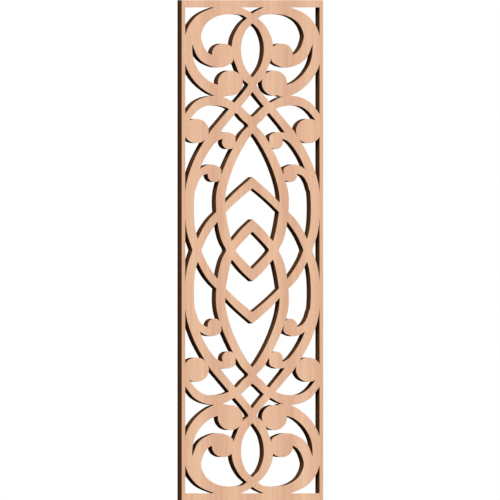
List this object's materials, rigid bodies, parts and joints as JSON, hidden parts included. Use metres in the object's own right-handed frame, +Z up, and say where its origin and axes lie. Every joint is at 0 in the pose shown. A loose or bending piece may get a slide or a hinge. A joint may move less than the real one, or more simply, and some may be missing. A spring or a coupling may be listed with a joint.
{
  "type": "carved fretwork grille",
  "caption": "Tall flat wooden grille, pierced with a mirrored pattern of crossing straps, scrolls and round bosses inside a narrow rectangular frame.",
  "frame": {"origin": "on the back face, in the middle of the bottom rail, where the panel is fixed to a wall", "axes": "+Z up the panel's length, X across its width, +Y out of the back towards the wall; the front faces -Y"},
  "size_m": [0.2858, 0.0191, 0.9144],
  "materials": {
    "pale_wood": "sanded bare wood, with dark cut edges"
  },
  "bodies": {
    "root": {"fretwork_grille": "pale_wood"}
  },
  "joints": []
}
